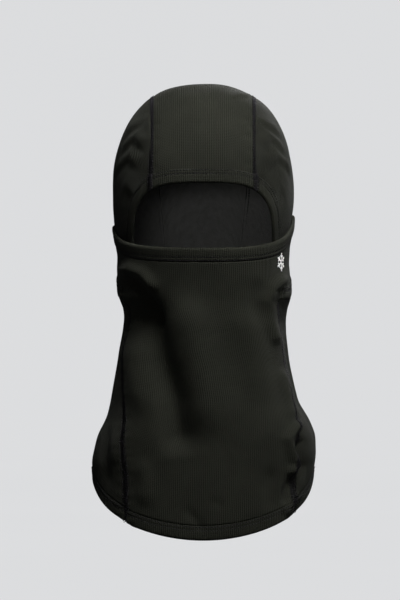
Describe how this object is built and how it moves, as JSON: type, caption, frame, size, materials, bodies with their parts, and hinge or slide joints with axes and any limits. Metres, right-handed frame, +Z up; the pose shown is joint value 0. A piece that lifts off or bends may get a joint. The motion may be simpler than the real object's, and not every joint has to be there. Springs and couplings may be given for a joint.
{
  "type": "ski balaclava",
  "caption": "Hinged knit balaclava: close hood with an arched face opening, pull-down mask with side wings, and a flared neck drape with a rounded bib.",
  "frame": {"origin": "the centre of the wearer's head, level with the temples, where the hood is widest", "axes": "+Z up through the crown, -Y the way the face looks, +X towards the wearer's left"},
  "size_m": [0.2028, 0.2062, 0.4059],
  "materials": {
    "main_knit": "brushed stretch knit, fine vertical wales, near-black olive",
    "side_knit": "the same knit on the side and back panels, a shade darker",
    "seam_thread": "dark textured polyester thread",
    "white_print": "matte heat-transfer print",
    "woven_label": "blank woven satin label"
  },
  "bodies": {
    "neck": {"front_panel": "main_knit", "back_panel": "side_knit", "side_seam_left": "seam_thread", "side_seam_right": "seam_thread", "nape_seam": "seam_thread", "bottom_hem_front": "main_knit", "bottom_hem_back": "side_knit", "bottom_coverstitch": "seam_thread", "care_label": "woven_label"},
    "hood": {"crown_panel": "main_knit", "hood_side_left": "side_knit", "hood_side_right": "side_knit", "crown_seam_left": "seam_thread", "crown_seam_right": "seam_thread", "opening_hem": "main_knit", "opening_coverstitch": "seam_thread"},
    "mask": {"mask_panel": "main_knit", "mask_top_hem": "main_knit", "mask_coverstitch": "seam_thread", "wing_hem_left": "main_knit", "wing_hem_right": "main_knit", "wing_coverstitch_left": "seam_thread", "wing_coverstitch_right": "seam_thread", "bar_tack_left": "seam_thread", "bar_tack_right": "seam_thread", "cheek_print": "white_print"}
  },
  "joints": [
    {"name": "hood_fold", "type": "hinge", "parent": "neck", "child": "hood", "pos_m": [0, 0.082, -0.0945], "axis": [1, 0, 0], "range_deg": [-100, 0]},
    {"name": "mask_pull", "type": "hinge", "parent": "neck", "child": "mask", "pos_m": [0, 0, -0.052], "axis": [1, 0, 0], "range_deg": [0, 20]}
  ]
}
